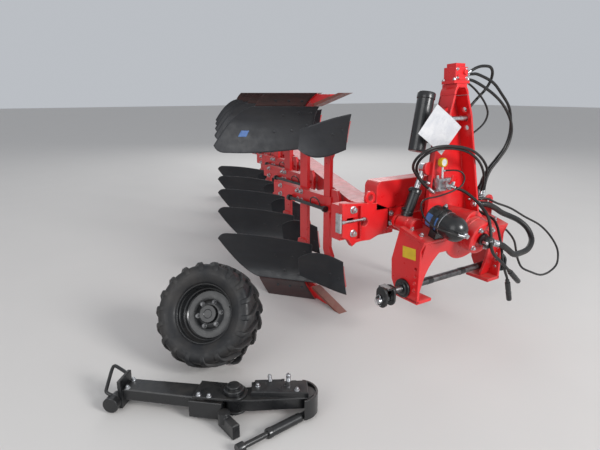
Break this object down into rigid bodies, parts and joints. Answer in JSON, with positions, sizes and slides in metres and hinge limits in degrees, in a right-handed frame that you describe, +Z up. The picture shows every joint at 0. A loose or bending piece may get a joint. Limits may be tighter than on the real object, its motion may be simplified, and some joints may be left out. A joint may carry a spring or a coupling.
{
  "type": "reversible moldboard plough",
  "caption": "Mounted reversible moldboard plough with paired bodies on a diagonal beam, headstock with mast, parked on its stand, its depth wheel and arm taken off beside it.",
  "frame": {"origin": "centre of the footprint of the bounding box, on the ground the plough is parked on", "axes": "+Z up, -Y the direction of travel (the headstock end), +X to the land side of the lower bodies"},
  "size_m": [4.1108, 5.9687, 1.9091],
  "materials": {
    "red_paint": "glossy red paint",
    "black_paint": "satin black paint",
    "board_steel": "dark varnished steel with a blue sheen",
    "share_steel": "red-brown primer on steel",
    "point_steel": "orange-red primer on steel",
    "plated_steel": "zinc plated and ground steel",
    "tyre_rubber": "black tyre rubber",
    "paper": "white paper in a sleeve",
    "gauge_yellow": "yellow plastic"
  },
  "bodies": {
    "headstock": {"cross_shaft": "black_paint", "shaft_flanges": "black_paint", "link_couplers": "black_paint", "coupler_pins": "plated_steel", "linch_pins": "plated_steel", "side_brackets": "red_paint", "front_plate": "red_paint", "top_plate": "red_paint", "turnover_drum": "red_paint", "drum_cap": "black_paint", "mast": "red_paint", "top_link_pin": "plated_steel", "paper_tag": "paper", "rotary_valve": "red_paint", "valve_block": "plated_steel", "pressure_gauge": "gauge_yellow", "accumulator": "black_paint", "accumulator_clamp": "black_paint", "document_tube": "black_paint", "turnover_barrel": "black_paint", "turnover_rod": "plated_steel", "wheel_tyre": "tyre_rubber", "wheel_rim": "black_paint", "wheel_bracket": "black_paint", "wheel_arm": "black_paint", "wheel_arm_handle": "black_paint", "wheel_arm_link": "black_paint", "wheel_arm_cylinder": "black_paint"},
    "turnover": {"turnover_shaft": "plated_steel", "turnover_crank": "red_paint", "turnover_arm": "red_paint", "swing_pin": "plated_steel", "adjuster_rod": "plated_steel"},
    "frame": {"main_beam": "red_paint", "beam_head": "red_paint", "leg_carriers": "red_paint", "carrier_stays": "black_paint", "legs_lower": "red_paint", "legs_upper": "red_paint", "frogs_lower": "red_paint", "frogs_upper": "red_paint", "landsides_lower": "board_steel", "landsides_upper": "board_steel", "points_lower": "point_steel", "points_upper": "point_steel", "shares_lower": "share_steel", "shares_upper": "share_steel", "mouldboards_lower": "board_steel", "mouldboards_upper": "board_steel", "skimmer_stalks": "red_paint", "skimmers_lower": "board_steel", "skimmers_upper": "board_steel", "stand_sleeve": "red_paint"},
    "stand": {"parking_stand": "black_paint"}
  },
  "joints": [
    {"name": "turnover", "type": "hinge", "parent": "headstock", "child": "turnover", "pos_m": [0.27041, -2.865, 0.86], "axis": [0, 1, 0], "range_deg": [0, 180]},
    {"name": "frame_swing", "type": "hinge", "parent": "turnover", "child": "frame", "pos_m": [-0.15115, -2.205, 0.86], "axis": [0, 0, 1], "range_deg": [-10, 8]},
    {"name": "stand_slide", "type": "slide", "parent": "frame", "child": "stand", "axis": [0, 0, 1], "range_m": [0, 0.3]}
  ]
}
